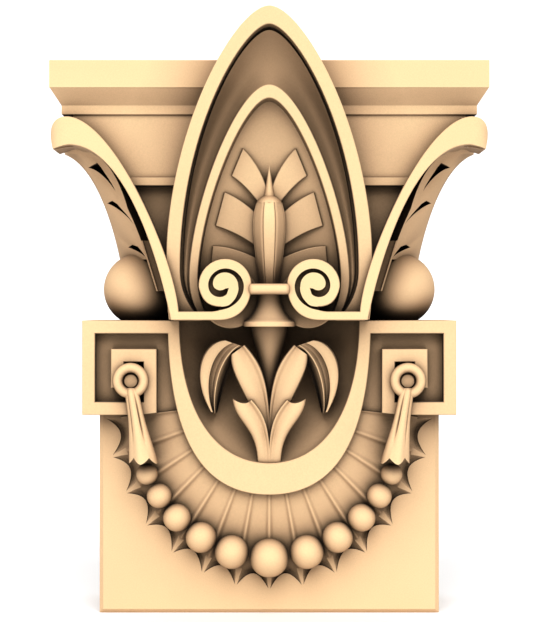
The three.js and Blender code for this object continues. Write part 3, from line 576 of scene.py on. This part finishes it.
outer_rim = rim(0, 0, outer_foot_drop)
cove_edge = rim(15, 18)
cove_end = inner_rim(-1, -1)
bowl_edge = inner_rim(inner_width, inner_width_top)
bowl_foot = inner_rim(9, 12.8)
bowl_middle = mix(inner_wide, inner_top, 0.25)
leaf_rings = [[(x, z, abacus_proud - back_sink + back_lean * (z - abacus_top)) for x, z in outer_rim]]
leaf_rings += [sunk(outer_rim, arris), sunk(rim(arris, arris, outer_foot_drop), 0)]
leaf_rings += [sunk(rim(rim_width - arris, rim_width_top - arris), 0)]
leaf_rings += [sunk(rim(rim_width, rim_width_top), arris)]
leaf_rings += [sunk(rim(12.3, 15.4), quirk_depth, quirk_more)]
leaf_rings += [sunk(rim(14.3, 17.3), quirk_depth, quirk_more)]
leaf_rings += [sunk(cove_edge, cove_depth, cove_more)]
for i in range(1, cove_rows):
    share = i / cove_rows
    belly = math.sin(math.pi * share) ** 0.8
    more = mix(cove_more, cove_end_more, share) + cove_belly_more * belly
    leaf_rings.append(sunk(between(cove_edge, cove_end, share), cove_depth + cove_belly * belly, more))
leaf_rings += [sunk(cove_end, cove_depth, cove_end_more)]
leaf_rings += [sunk(inner_rim(0, 0), rim_sink + arris), sunk(inner_rim(arris, arris), rim_sink)]
leaf_rings += [sunk(inner_rim(inner_width - arris, inner_width_top - arris), rim_sink)]
leaf_rings += [sunk(bowl_edge, rim_sink + arris), sunk(bowl_foot, bowl_edge_depth)]
for i in range(1, bowl_rows):
    share = 1 - (i / bowl_rows) ** 1.1
    depth = mix(bowl_depth, bowl_edge_depth, share ** 2.2)
    leaf_rings.append(sunk([(x * share, mix(bowl_middle, z, share)) for x, z in bowl_foot], depth))
leaf_room = rim(rim_width, rim_width_top)
work(capital, [solid([sunk(leaf_room, bowl_depth + lap), sunk(leaf_room, -bowl_depth)])], "DIFFERENCE")
pointed_leaf = solid(leaf_rings)
bpy.context.scene.collection.objects.link(pointed_leaf)
far = 300
below = solid([[(x, z, proud) for x, z in rectangle(-far, far, -far, arch_foot)] for proud in (-far, far)])
work(pointed_leaf, [below], "DIFFERENCE")
bpy.context.scene.collection.objects.unlink(pointed_leaf)
work(capital, [pointed_leaf])

# Petals of the fan
# Six flat petals spread from behind the torch, three on each side. They are left standing a little proud
# when the bowl is sunk round them, with crisp square edges.
petal_depth = 17
petal_bury = 4
petal_steps = 12


def leaned(form):
    for vert in form.data.vertices:
        vert.co.y -= arch_lean * (vert.co.z - arch_foot * mm)
    return form


def petal(tip_high, tip_low, high_bends, low_bends, root_high, root_low):
    top = bezier(root_high, *high_bends, tip_high, petal_steps)
    low = bezier(tip_low, *low_bends, root_low, petal_steps)
    outline = [(-x, z) for x, z in top + low]
    return leaned(slab(outline, arch_proud - bowl_depth - petal_bury, arch_proud - petal_depth))


work(capital, pair(petal((22.8, 406.5), (32.7, 383.1), ((6, 385), (13.5, 397.5)), ((25, 378.5), (16, 370)),
                         (2, 372), (6, 356))))
work(capital, pair(petal((38.8, 369.3), (46.7, 340.3), ((20, 359.5), (29, 365)), ((35, 336.8), (24, 332)),
                         (8, 348), (9, 321))))
work(capital, pair(petal((49.3, 323), (52.8, 286), ((28, 320.5), (38, 322.6)), ((40, 286), (25, 286)),
                         (8, 311), (9, 286))))

# Ribbons
# A flat strap rolls up in a volute beside the torch, runs out along the collar, turns at the corner and
# sweeps up to the horn under the end of the abacus. The horn runs back to the wall as a plain roll.
ribbon_proud = 40
ribbon_back = -12
horn_tip = (186.3, 405.8)
horn_bends = ((195, 435.5), (174, 433.5))
volute_radius = 22.6
volute_across = 37.9
volute_height = block_top + 30.3
groove_depth = 7.5
horn_round_radius = 17
horn_round_depth = 10
horn_inner = 172
horn_outer = 195
horn_low = 398
horn_steps = 40
boss_radius = 25.8
boss_across = 33.9
boss_height = 277.3
boss_proud = 18
coil_edge = [(-77, 18.75), (-62, 20), (-47, 21.3), (-34, 21.8), (-21, 22), (-9, 22.3), (4, 22.6), (90, 22.6),
             (150, 22.6), (184, 22.6)]
groove_outer = [(297, 25.1), (286, 22.6), (275, 20.9), (261, 19.6), (248, 18.5), (221, 17.1), (195, 16.4),
                (180, 16.1), (135, 15), (90, 14.5), (45, 14.4), (0, 14.5), (-30, 13.8), (-60, 11.6),
                (-90, 8.8), (-102, 7.6)]
groove_inner = [(-148, 3.9), (-118, 2.9), (-90, 2.9), (-60, 4.6), (-30, 7.6), (0, 10.2), (45, 11.1), (90, 11),
                (135, 11), (180, 11.2), (189, 11.6), (217, 13), (244, 15.4), (261, 17.4), (283, 18.8),
                (297, 21.4)]


def arc(across, height, radius, start, end, steps):
    turns = [mix(start, end, i / steps) for i in range(steps + 1)]
    return [(across + radius * math.cos(a), height + radius * math.sin(a)) for a in turns]


def through(points, steps):
    """A smooth curve through the given points."""
    ends = [points[0]] + points + [points[-1]]
    curve = []
    for i in range(len(points) - 1):
        a, b, c, d = ends[i:i + 4]
        for k in range(steps):
            t = k / steps
            curve.append(tuple(b[n] + t / 2 * (c[n] - a[n] + t * (2 * a[n] - 5 * b[n] + 4 * c[n] - d[n]
                               + t * (3 * (b[n] - c[n]) + d[n] - a[n]))) for n in range(2)))
    return curve + [points[-1]]


def wound(stations, steps):
    """A curve given by its bearing and distance from the middle of the volute."""
    curve = []
    for bearing, radius in through(stations, steps):
        angle = math.radians(bearing)
        curve.append((volute_across + radius * math.cos(angle), volute_height + radius * math.sin(angle)))
    return curve


bar_foot = ribbon_outer[0][1]
bar_top = ribbon_inner[0][1]
ribbon = outer_edge[:-1] + bezier(ribbon_outer[3], (171, 409.4), (179.6, 408.7), horn_tip, 12)[:-1]
ribbon += bezier(horn_tip, *horn_bends, ribbon_inner[3], horn_steps)[:-1] + inner_edge[::-1]
ribbon += [(volute_across + 11.4, bar_top), (volute_across + 8.6, bar_top + 0.35)]
ribbon += [(volute_across + 6, bar_top + 0.9)]
ribbon += wound(coil_edge, 8)
ribbon += bezier(ribbon[-1], (volute_across - volute_radius + 1, volute_height - 17),
                 (volute_across - 13, bar_foot), (volute_across + 6, bar_foot), 20)[1:]
ribbon = [(-x, z) for x, z in ribbon]
work(capital, pair(slab(ribbon, ribbon_back, ribbon_proud)))

roll = [(6 - ribbon_outer[3][0], ribbon_outer[3][1])]
roll += [(-x, z) for x, z in bezier(horn_tip, *horn_bends, ribbon_inner[3], horn_steps)]
roll += [(6 - ribbon_inner[3][0], ribbon_inner[3][1])]
roll_rings = []
for proud, size in ((wall, 0.76), (-70, 0.79), (-40, 0.83), (-10, 0.88), (12, 0.94), (ribbon_proud - 9, 1)):
    roll_rings.append([(mix(-165, x, size), mix(ribbon_inner[3][1], z, size), proud) for x, z in roll])
work(capital, pair(solid(roll_rings)))

horn_round = [(-horn_inner, ribbon_proud + lap)]
for degrees in range(0, 91, 5):
    angle = math.radians(degrees)
    horn_round.append((-horn_inner - horn_round_radius * math.sin(angle),
                       ribbon_proud - horn_round_depth * (1 - math.cos(angle))))
horn_round += [(-horn_outer, ribbon_proud - horn_round_depth), (-horn_outer, ribbon_proud + lap)]
horn_tool = solid([[(x, z, proud) for x, proud in horn_round] for z in (horn_low, abacus_base - arris)])
work(capital, pair(horn_tool), "DIFFERENCE")

groove = [(-x, z) for x, z in wound(groove_outer, 6) + wound(groove_inner, 6)]
work(capital, pair(slab(groove, ribbon_proud - groove_depth, ribbon_proud + lap, 0)), "DIFFERENCE")
round_steps = 72
full_turn = 2 * math.pi * (round_steps - 1) / round_steps
boss = arc(-boss_across, boss_height, boss_radius, 0, full_turn, round_steps - 1)
work(capital, pair(slab(boss, 0, boss_proud, 2 * arris)))

# Torch
# A slender eight-sided bud with a spike stands before the fan. A band holds it between the volutes, a
# flared foot stands under the band, and a tapering drop hangs below into the niche.
torch_sink = 18
torch_proud = arch_proud - torch_sink
bud_sides = 8
bud_steps = 96
bud_line = 0.09
bud_line_width = 0.05
bud_swell = 1.25
bud_profile = [(284, 9.4), (293, 10), (302, 11.5), (311, 12.9), (320, 13.9), (328, 14.8), (336, 15.4),
               (345, 15.3), (352, 14.4), (357.5, 12.8)]


def turned(profile, proud, depth, steps):
    """A round form on the middle line, flattened from front to back by the given share."""
    turns = [2 * math.pi * k / steps for k in range(steps)]
    return solid([[(radius * math.sin(a), z, proud + depth * radius * math.cos(a)) for a in turns]
                  for z, radius in profile])


def bud_ring(z, radius, facet):
    half_side = math.pi / bud_sides
    ring = []
    for k in range(bud_steps):
        angle = 2 * math.pi * k / bud_steps
        off = (angle + half_side) % (2 * half_side) - half_side
        flat = math.cos(half_side) / math.cos(off)
        line = bud_line * math.exp(-((half_side - abs(off)) / bud_line_width) ** 2)
        reach = radius * mix(1, flat - line, facet)
        ring.append((reach * math.sin(angle), z, torch_proud + bud_swell * reach * math.cos(angle)))
    return ring


bud = [bud_ring(z, radius, 1) for z, radius in bud_profile]
bud += [bud_ring(359.2, 12.3, 1), bud_ring(359.8, 11.6, 0), bud_ring(362.5, 9.8, 0), bud_ring(364.6, 7.2, 0)]
bud += [bud_ring(365.8, 4.9, 0), bud_ring(374, 3.3, 0), bud_ring(383, 1.8, 0), bud_ring(392.2, 0.15, 0)]
work(capital, [leaned(solid(bud))])
band_height = 285.3
band = [(280.6, 15.4), (281.1, 16.6), (282.3, 17.5), (band_height, 17.9), (288.3, 17.5), (289.5, 16.6),
        (290, 15.4)]
band_rings = []
for proud, sunk_by in ((20, 0), (39.5, 0), (41.7, 0.5), (43.2, 1.4), (44.2, 2.6), (44.6, 3.9)):
    side = [(half - sunk_by, mix(z, band_height, sunk_by / 5.5)) for z, half in band]
    band_rings.append([(x, z, proud) for x, z in side + [(-x, z) for x, z in side[::-1]]])
work(capital, [solid(band_rings)])
torch_foot_proud = 21
torch_foot_depth = 0.8
torch_foot = [(253, 21.8), (253.6, 22.4), (257.2, 22.4), (257.8, 21.8), (259.5, 19), (262, 16.4),
              (265.5, 13.9), (270, 11.7), (275, 10.3), (282, 9.6)]
work(capital, [turned(torch_foot, torch_foot_proud, torch_foot_depth, round_steps)])
drop = [(190.4, 0.2), (196, 1.6), (205, 4.2), (214, 7), (223, 9.6), (232, 12), (241, 14.1), (247, 15.2),
        (251, 15.6), (254, 15.6)]
drop_steps = 56
work(capital, [turned(drop, 0, 1, drop_steps)])

# Plant in the niche
# Two pairs of leaves rise from one stem on the collar, and the upper pair curl over into drooping
# petals. They are undercut so that they stand free in front of the hollow.
leaf_steps = 40


def leaf(outer, inner, base, crown, thickness, section, dip=0):
    """A carved leaf between two edges. The section gives its rise at shares of the way across it."""
    left = bezier(*outer, leaf_steps)
    right = bezier(*inner, leaf_steps)
    rings = []
    for i in range(leaf_steps + 1):
        share = i / leaf_steps
        heading = Vector((left[i][0] + right[i][0] - left[i - 1][0] - right[i - 1][0],
                          left[i][1] + right[i][1] - left[i - 1][1] - right[i - 1][1])).normalized()
        if i == 0:
            heading = Vector((0, 1))
        swell = min(share * 3, 1) if dip else min(0.35 + share * 2, 1)
        front = mix(base, crown, math.sin(share * math.pi / 2))
        ring = []
        for t, rise in section:
            sag = dip * 4 * t * (1 - t) * share ** 10
            ring.append((-mix(left[i][0], right[i][0], t) + heading.x * sag,
                         mix(left[i][1], right[i][1], t) - heading.y * sag, front + rise * swell))
        back = [(x, z, front - thickness * mix(0.35, 1, math.sin(math.pi * t) ** 0.5))
                for (t, _), (x, z, _) in zip(section, ring)]
        rings.append(ring + back[::-1])
    return solid(rings)


broad = [(0, -3), (0.04, -1.2), (0.1, -0.3), (0.2, 0.3), (0.32, 0.5), (0.44, 0.3), (0.56, -0.3), (0.66, -1),
         (0.73, -1.3), (0.79, -1), (0.84, -0.1), (0.89, 0.8), (0.93, 1.1), (0.965, 0.8), (0.99, -0.6),
         (1, -2.5)]
stem = [(-9.7, 128), (9.7, 128), (9.7, 146), (8.4, 152), (4, 157), (0, 160), (-4, 157), (-8.4, 152),
        (-9.7, 146)]
work(capital, [slab(stem, -4, 12.4, 2.4)])
work(capital, pair(leaf(((9.7, 129), (9.7, 166), (30, 168), (32, 190)),
                        ((-0.8, 129), (-0.8, 166), (3, 176), (15.3, 189.4)), 12, 20, 13, broad, 4)))
work(capital, pair(leaf(((8, 140), (12, 190), (34, 206), (33.4, 228)),
                        ((-0.8, 150), (-0.8, 206), (6, 220), (21.3, 237)), 9, 21, 13, broad, 0.01)))
curl = [(0, -9), (0.03, -2.4), (0.07, -0.5), (0.14, 0.2), (0.26, 0.4), (0.38, 0.3), (0.41, 0), (0.43, -3.4),
        (0.5, -4.4), (0.58, -3.8), (0.64, -1.4), (0.68, 2.2), (0.7, 3), (0.73, 2.8), (0.76, 0.6),
        (0.84, -6.5), (0.92, -11.5), (1, -15)]
work(capital, pair(leaf(((39.3, 241.2), (58, 241), (72, 212), (51.5, 178.5)),
                        ((20.6, 234.8), (34, 224), (41, 200), (45.8, 177)), 22, 13, 18, curl)))

# Beads
# A string of eleven round beads hangs across the shell, the largest in the middle. Each is cut as a
# separate ball with a narrow gap, and stands on the flutes on a third of its back.
bead_half = 121.5
bead_drop = 139
bead_radii = [17.1, 14.9, 13.6, 12.3, 11, 9.6]
bead_gap = 1.2
bead_proud = 9
bead_rows = 22
bead_turn = 0.001


def bead_place(angle):
    reach = 1 / math.hypot(math.sin(angle) / bead_half, math.cos(angle) / bead_drop)
    return (-reach * math.sin(angle), shell_centre - reach * math.cos(angle))


angle = 0
across, height = bead_place(0)
work(capital, [sphere(bead_radii[0], across, height, bead_proud, bead_rows)])
for before, radius in zip(bead_radii, bead_radii[1:]):
    while math.dist(bead_place(angle), (across, height)) < before + radius + bead_gap:
        angle += bead_turn
    across, height = bead_place(angle)
    work(capital, pair(sphere(radius, across, height, bead_proud, bead_rows)))

# Rings and pendants
# A ring hangs on a short peg in each key block, and from it a bell flower hangs out over the shell. Ring,
# peg and flower are all of the block, drilled through and undercut round the ring.
ring_across = 120.7
ring_height = 205.8
ring_radius = 11.3
ring_thick = 4.3
ring_proud = key_proud + 3.5
peg_radius = 6.7
peg_steps = 32
peg_rise = 2
ring_steps = 56
ring_sides = 20


def hoop(radius, thick, across, height, proud, steps, sides):
    """A closed ring, made as a tube whose ends meet."""
    mesh = bmesh.new()
    rows = []
    for i in range(steps):
        turn = 2 * math.pi * i / steps
        row = []
        for k in range(sides):
            lean = 2 * math.pi * k / sides
            reach = radius + thick * math.cos(lean)
            row.append(mesh.verts.new(((across + reach * math.cos(turn)) * mm,
                                       (-shaft_depth / 2 - proud - thick * math.sin(lean)) * mm,
                                       (height + reach * math.sin(turn)) * mm)))
        rows.append(row)
    for i in range(steps):
        for k in range(sides):
            here, there = rows[i], rows[(i + 1) % steps]
            mesh.faces.new((here[k], there[k], there[(k + 1) % sides], here[(k + 1) % sides]))
    if mesh.calc_volume(signed=True) < 0:
        bmesh.ops.reverse_faces(mesh, faces=mesh.faces)
    data = bpy.data.meshes.new("form")
    mesh.to_mesh(data)
    mesh.free()
    return bpy.data.objects.new("form", data)


peg_turn = 2 * math.pi * (peg_steps - 1) / peg_steps
peg = arc(-ring_across, ring_height - 0.4, peg_radius, 0, peg_turn, peg_steps - 1)
work(capital, pair(slab(peg, key_pocket - lap, key_proud + peg_rise, 2 * arris)))
ring = hoop(ring_radius, ring_thick, -ring_across, ring_height, ring_proud, ring_steps, ring_sides)
work(capital, pair(ring))

flower_top = 199.5
flower_length = 61
flower_lean = 11
flower_groove = 0.22
flower_groove_width = 0.065
flower_radii = [(0, 3.4), (0.02, 4.8), (0.06, 5.7), (0.14, 6.2), (0.26, 6.5), (0.38, 6.8), (0.48, 7.3),
                (0.58, 8.1), (0.68, 9), (0.78, 10), (0.87, 10.9), (0.94, 11.7), (1, 12.2)]
flower_sides = 80
flower_petals = 5
flower_rings = []
for share, radius in flower_radii:
    axis = -ring_across + 0.6 + flower_lean * share
    groove_cut = flower_groove * math.sin(math.pi * min(share / 0.8, 1)) ** 1.2
    ring = []
    for k in range(flower_sides):
        angle = 2 * math.pi * k / flower_sides
        off = (angle * flower_petals / (2 * math.pi) + 0.62) % 1 - 0.5
        cut = groove_cut * math.exp(-((0.5 - abs(off)) / flower_groove_width) ** 2)
        square = mix(0.06, 0.05, share) * math.cos(2 * math.pi * off)
        reach = radius * (1 + square - cut)
        tip = (4.5 - 16 * abs(off) ** 1.5) * share ** 8
        ring.append((axis + reach * math.sin(angle), flower_top - flower_length * share - tip,
                     ring_proud + reach * 1.1 * math.cos(angle)))
    flower_rings.append(ring)
hem = flower_rings[-1]
x, z, proud = (sum(values) / flower_sides for values in zip(*hem))
for size, lift, fall in ((0.86, 3, 0.8), (0.2, 9, 0.1)):
    flower_rings.append([(mix(x, a, size), mix(z + lift, b, fall), mix(proud, c, size)) for a, b, c in hem])
work(capital, pair(solid(flower_rings)))

# Stone
# The whole capital is one block of warm, fine-grained limestone, smoothed by rubbing. The open front faces
# are pale cream. Painted shade makes its hollows brown and its deepest cuts nearly black, and darkens its
# sides and the parts set back.
flat_face = 0.99999
crease = 30
for polygon in capital.data.polygons:
    polygon.use_smooth = abs(polygon.normal.y) < flat_face
capital.data.set_sharp_from_angle(angle=math.radians(crease))
stone = bpy.data.materials.new("warm_limestone")
stone.use_nodes = True
nodes = stone.node_tree.nodes
links = stone.node_tree.links
surface = nodes["Principled BSDF"]
surface.inputs["Specular IOR Level"].default_value = 0.15

place = nodes.new("ShaderNodeTexCoord")
# Painted shade: the ambient occlusion of the carving picks each colour from the ramp below, so hollows,
# creases and the gaps between parts are painted brown and the deepest cuts nearly black.
hollow = nodes.new("ShaderNodeAmbientOcclusion")
hollow.samples = 12
hollow.only_local = True
hollow.inputs["Distance"].default_value = 0.055
tone = nodes.new("ShaderNodeValToRGB")
tone.color_ramp.elements[0].position = 0.08
tone.color_ramp.elements[0].color = (0.014, 0.009, 0.0055, 1)
tone.color_ramp.elements[1].position = 0.99
tone.color_ramp.elements[1].color = (0.86, 0.66, 0.35, 1)
for position, colour in ((0.26, (0.07, 0.044, 0.024, 1)), (0.455, (0.25, 0.156, 0.085, 1)),
                         (0.63, (0.47, 0.297, 0.165, 1)), (0.79, (0.69, 0.445, 0.248, 1)),
                         (0.91, (0.81, 0.55, 0.305, 1))):
    step = tone.color_ramp.elements.new(position)
    step.color = colour
# Painted shade: faces turned away from the front and from above get a lower ramp value, so they are painted
# darker and browner.
outward = nodes.new("ShaderNodeNewGeometry")
facing = nodes.new("ShaderNodeVectorMath")
facing.operation = "DOT_PRODUCT"
facing.inputs[1].default_value = (0, -0.94, 0.34)
links.new(outward.outputs["Normal"], facing.inputs[0])
facing_shade = nodes.new("ShaderNodeValToRGB")
facing_shade.color_ramp.elements[0].position = 0
facing_shade.color_ramp.elements[0].color = (0.6, 0.6, 0.6, 1)
facing_shade.color_ramp.elements[1].position = 0.95
facing_shade.color_ramp.elements[1].color = (1, 1, 1, 1)
side_on = facing_shade.color_ramp.elements.new(0.15)
side_on.color = (0.775, 0.775, 0.775, 1)
links.new(facing.outputs["Value"], facing_shade.inputs["Fac"])
# This multiplies the painted shade of the hollows by the painted shade of faces turned away.
worn = nodes.new("ShaderNodeMath")
worn.operation = "MULTIPLY"
links.new(hollow.outputs["AO"], worn.inputs[0])
links.new(facing_shade.outputs["Color"], worn.inputs[1])
# Painted shade: surfaces that lie back near the shaft's face are painted a little darker than those standing
# far forward.
parts = nodes.new("ShaderNodeSeparateXYZ")
links.new(place.outputs["Object"], parts.inputs["Vector"])
standing = nodes.new("ShaderNodeMapRange")
standing.inputs["From Min"].default_value = -0.05
standing.inputs["From Max"].default_value = -0.11
standing.inputs["To Min"].default_value = 0.925
standing.inputs["To Max"].default_value = 1
links.new(parts.outputs["Y"], standing.inputs["Value"])
painted_shade_factor = nodes.new("ShaderNodeMath")
painted_shade_factor.operation = "MULTIPLY"
links.new(worn.outputs["Value"], painted_shade_factor.inputs[0])
links.new(standing.outputs["Result"], painted_shade_factor.inputs[1])
links.new(painted_shade_factor.outputs["Value"], tone.inputs["Fac"])

cloud = nodes.new("ShaderNodeTexNoise")
cloud.inputs["Scale"].default_value = 9
cloud.inputs["Detail"].default_value = 4
links.new(place.outputs["Object"], cloud.inputs["Vector"])
grain = nodes.new("ShaderNodeTexNoise")
grain.inputs["Scale"].default_value = 900
grain.inputs["Detail"].default_value = 3
links.new(place.outputs["Object"], grain.inputs["Vector"])


def spread(source, low, high):
    """Turns a texture into a gentle brightening and darkening."""
    node = nodes.new("ShaderNodeMapRange")
    node.inputs["From Min"].default_value = 0.3
    node.inputs["From Max"].default_value = 0.7
    node.inputs["To Min"].default_value = low
    node.inputs["To Max"].default_value = high
    links.new(source, node.inputs["Value"])
    return node.outputs["Result"]


def shaded(colour, factor):
    node = nodes.new("ShaderNodeMix")
    node.data_type = "RGBA"
    node.blend_type = "MULTIPLY"
    node.inputs["Factor"].default_value = 1
    links.new(colour, node.inputs[6])
    links.new(factor, node.inputs[7])
    return node.outputs[2]


colour = shaded(tone.outputs["Color"], spread(cloud.outputs["Fac"], 0.965, 1.02))
colour = shaded(colour, spread(grain.outputs["Fac"], 0.95, 1.04))
links.new(colour, surface.inputs["Base Color"])
links.new(spread(grain.outputs["Fac"], 0.8, 0.92), surface.inputs["Roughness"])
pits = nodes.new("ShaderNodeBump")
pits.inputs["Strength"].default_value = 0.12
pits.inputs["Distance"].default_value = 0.0006
links.new(grain.outputs["Fac"], pits.inputs["Height"])
links.new(pits.outputs["Normal"], surface.inputs["Normal"])
capital.data.materials.clear()
capital.data.materials.append(stone)
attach(capital, "root")
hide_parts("capital")

# Floor and studio
# A plain pale floor runs up behind into a pale backdrop. Weak light comes from all round, and one broad
# soft light falls on the capital from above and in front.
floor_mesh = bpy.data.meshes.new("floor")
sweep = [(-3.5, 0), (1.2, 0), (1.5, 0.04), (1.75, 0.16), (1.92, 0.36), (2, 0.65), (2, 4)]
floor_points = [(x, y, z) for y, z in sweep for x in (-9, 9)]
floor_faces = [(2 * i, 2 * i + 1, 2 * i + 3, 2 * i + 2) for i in range(len(sweep) - 1)]
floor_mesh.from_pydata(floor_points, [], floor_faces)
floor = bpy.data.objects.new("floor", floor_mesh)
bpy.context.scene.collection.objects.link(floor)
pale = bpy.data.materials.new("pale_floor")
pale.use_nodes = True
pale.node_tree.nodes["Principled BSDF"].inputs["Base Color"].default_value = (0.93, 0.93, 0.93, 1)
pale.node_tree.nodes["Principled BSDF"].inputs["Roughness"].default_value = 0.9
floor_mesh.materials.append(pale)

scene = bpy.context.scene
world = bpy.data.worlds.new("studio")
scene.world = world
world.use_nodes = True
world.node_tree.nodes["Background"].inputs["Color"].default_value = (1, 1, 1, 1)
world.node_tree.nodes["Background"].inputs["Strength"].default_value = 0.4
scene.view_settings.view_transform = "Standard"

photo_rows = 622
shaft_pixels = 340
eye_row = 302
eye_distance = 1412
film = 24
pixel = shaft_width / shaft_pixels
camera_data = bpy.data.cameras.new("camera")
camera_data.sensor_fit = "VERTICAL"
camera_data.sensor_height = film
camera_data.lens = film * (eye_distance / pixel) / photo_rows
camera = bpy.data.objects.new("camera", camera_data)
camera.location = (-0.75 * pixel * mm, -(shaft_depth / 2 + eye_distance) * mm, eye_row * pixel * mm)
camera.rotation_euler = (math.pi / 2, 0, 0)
scene.collection.objects.link(camera)
scene.camera = camera

sky = bpy.data.lights.new("sky_soft", "SUN")
sky.energy = 3.1
sky.angle = math.radians(50)
light = bpy.data.objects.new("sky_soft", sky)
light.rotation_euler = (math.radians(43), 0, 0)
scene.collection.objects.link(light)
